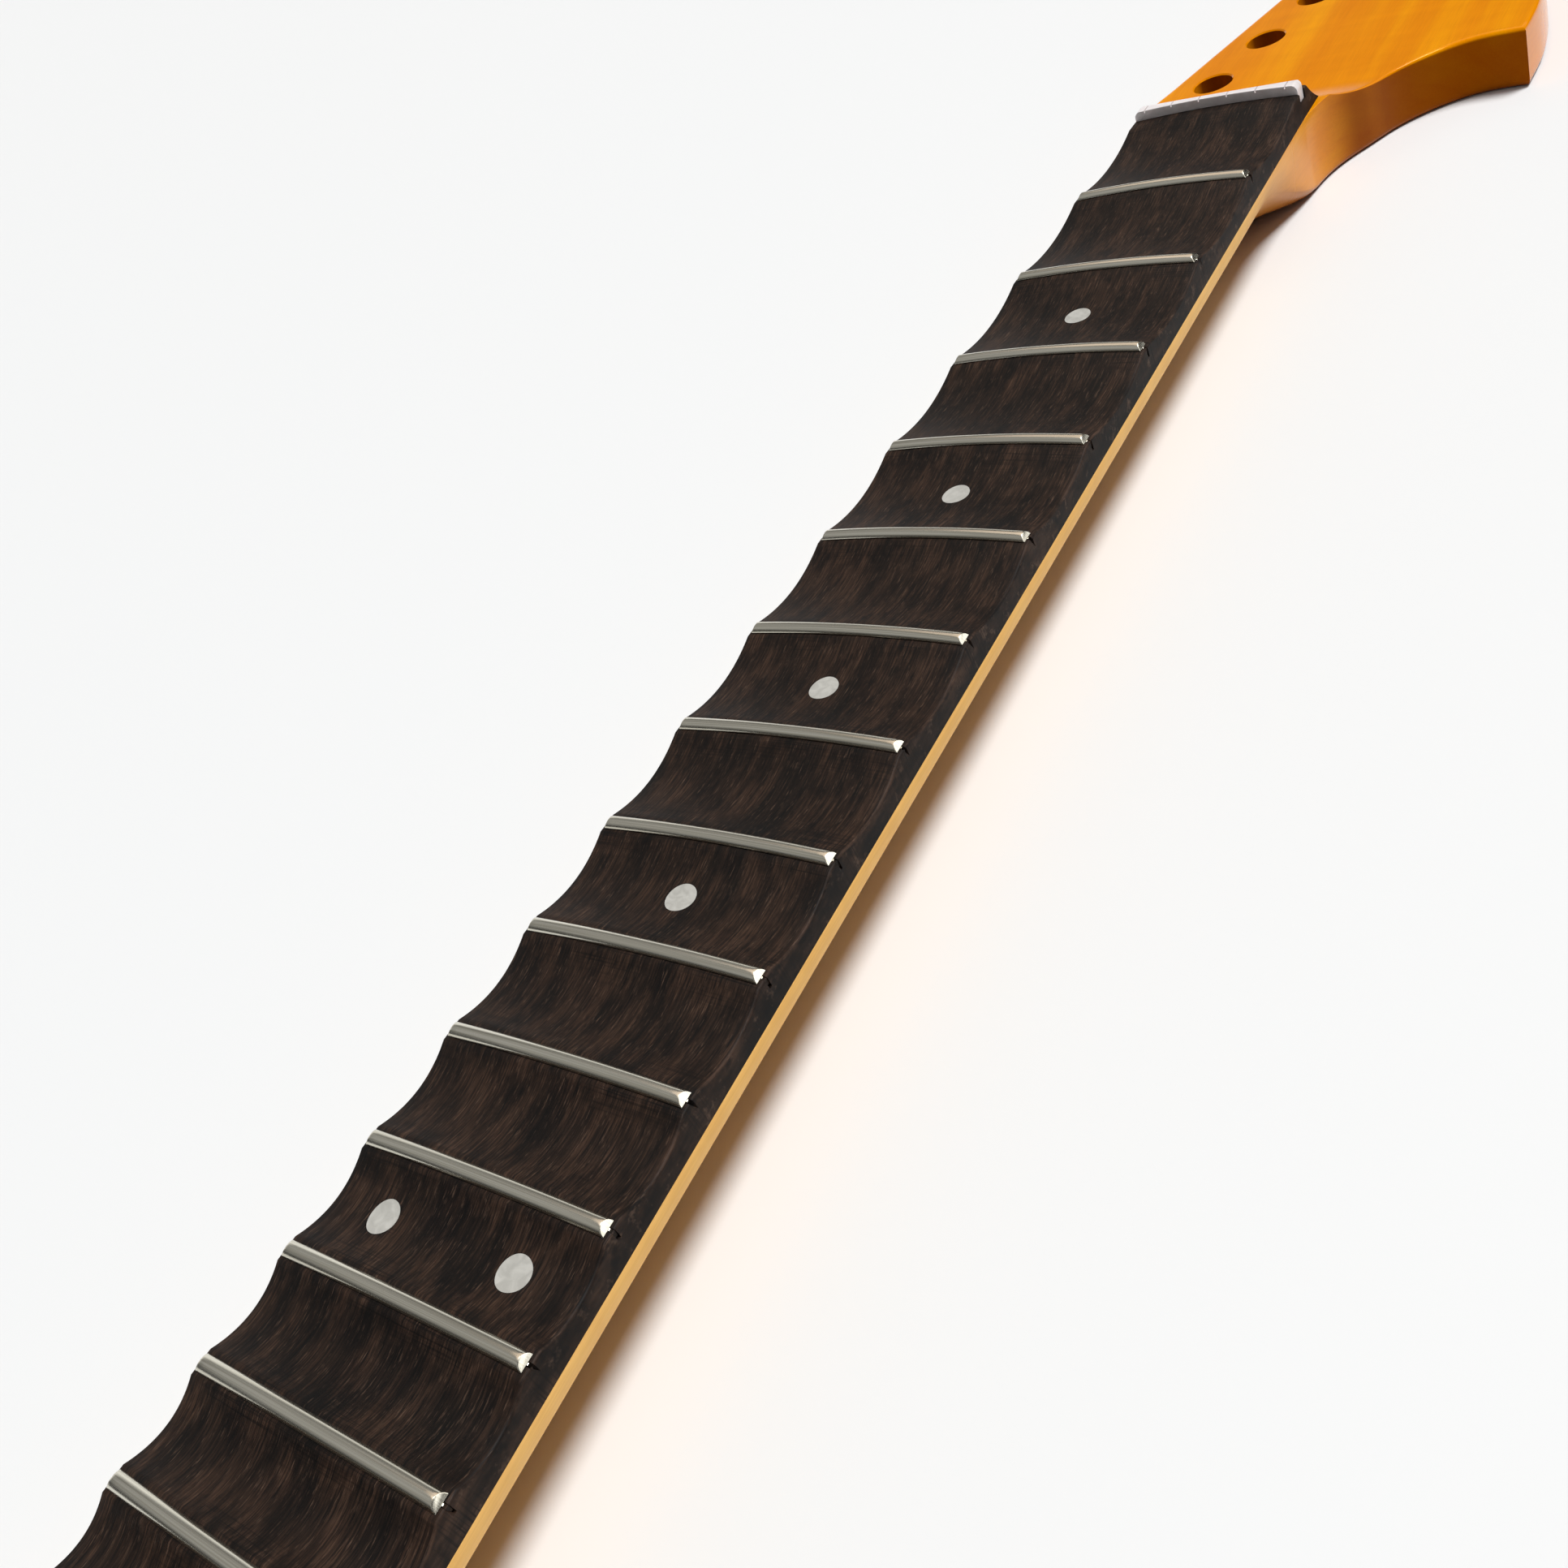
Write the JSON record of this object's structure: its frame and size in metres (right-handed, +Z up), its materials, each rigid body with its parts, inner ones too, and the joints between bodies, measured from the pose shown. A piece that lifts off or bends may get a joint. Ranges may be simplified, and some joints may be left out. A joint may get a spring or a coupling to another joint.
{
  "type": "electric guitar neck",
  "caption": "Bolt-on electric guitar neck with scalloped fingerboard, frets, nut, inline headstock and an adjustable truss rod.",
  "frame": {"origin": "centre of the neck screw pattern on the flat back of the heel", "axes": "+X to the treble side, +Y along the neck to the headstock, +Z up through the fingerboard"},
  "size_m": [0.091, 0.655, 0.0276],
  "materials": {
    "maple": "amber gloss lacquer",
    "rosewood": "oiled, matte",
    "nickel_silver": "polished",
    "bone": "satin",
    "pearloid": "satin",
    "steel": "plain drawn steel"
  },
  "bodies": {
    "neck_assembly": {"neck": "maple", "fretboard": "rosewood", "nut": "bone", "fret_01": "nickel_silver", "fret_02": "nickel_silver", "fret_03": "nickel_silver", "fret_04": "nickel_silver", "fret_05": "nickel_silver", "fret_06": "nickel_silver", "fret_07": "nickel_silver", "fret_08": "nickel_silver", "fret_09": "nickel_silver", "fret_10": "nickel_silver", "fret_11": "nickel_silver", "fret_12": "nickel_silver", "fret_13": "nickel_silver", "fret_14": "nickel_silver", "fret_15": "nickel_silver", "fret_16": "nickel_silver", "fret_17": "nickel_silver", "fret_18": "nickel_silver", "fret_19": "nickel_silver", "fret_20": "nickel_silver", "fret_21": "nickel_silver", "fret_22": "nickel_silver", "dot_03": "pearloid", "dot_05": "pearloid", "dot_07": "pearloid", "dot_09": "pearloid", "dot_12_bass": "pearloid", "dot_12_treble": "pearloid", "dot_15": "pearloid", "dot_17": "pearloid", "dot_19": "pearloid", "dot_21": "pearloid", "side_dot_03": "pearloid", "side_dot_05": "pearloid", "side_dot_07": "pearloid", "side_dot_09": "pearloid", "side_dot_12_head": "pearloid", "side_dot_12_heel": "pearloid", "side_dot_15": "pearloid", "side_dot_17": "pearloid", "side_dot_19": "pearloid", "side_dot_21": "pearloid", "truss_bar": "steel", "truss_head_block": "steel", "truss_heel_block": "steel"},
    "adjusting_rod": {"truss_rod": "steel"}
  },
  "joints": [
    {"name": "rod_turn", "type": "hinge", "parent": "neck_assembly", "child": "adjusting_rod", "pos_m": [0, 0.42374, 0.0126], "axis": [0, 1, 0], "range_deg": [-270, 270]}
  ]
}
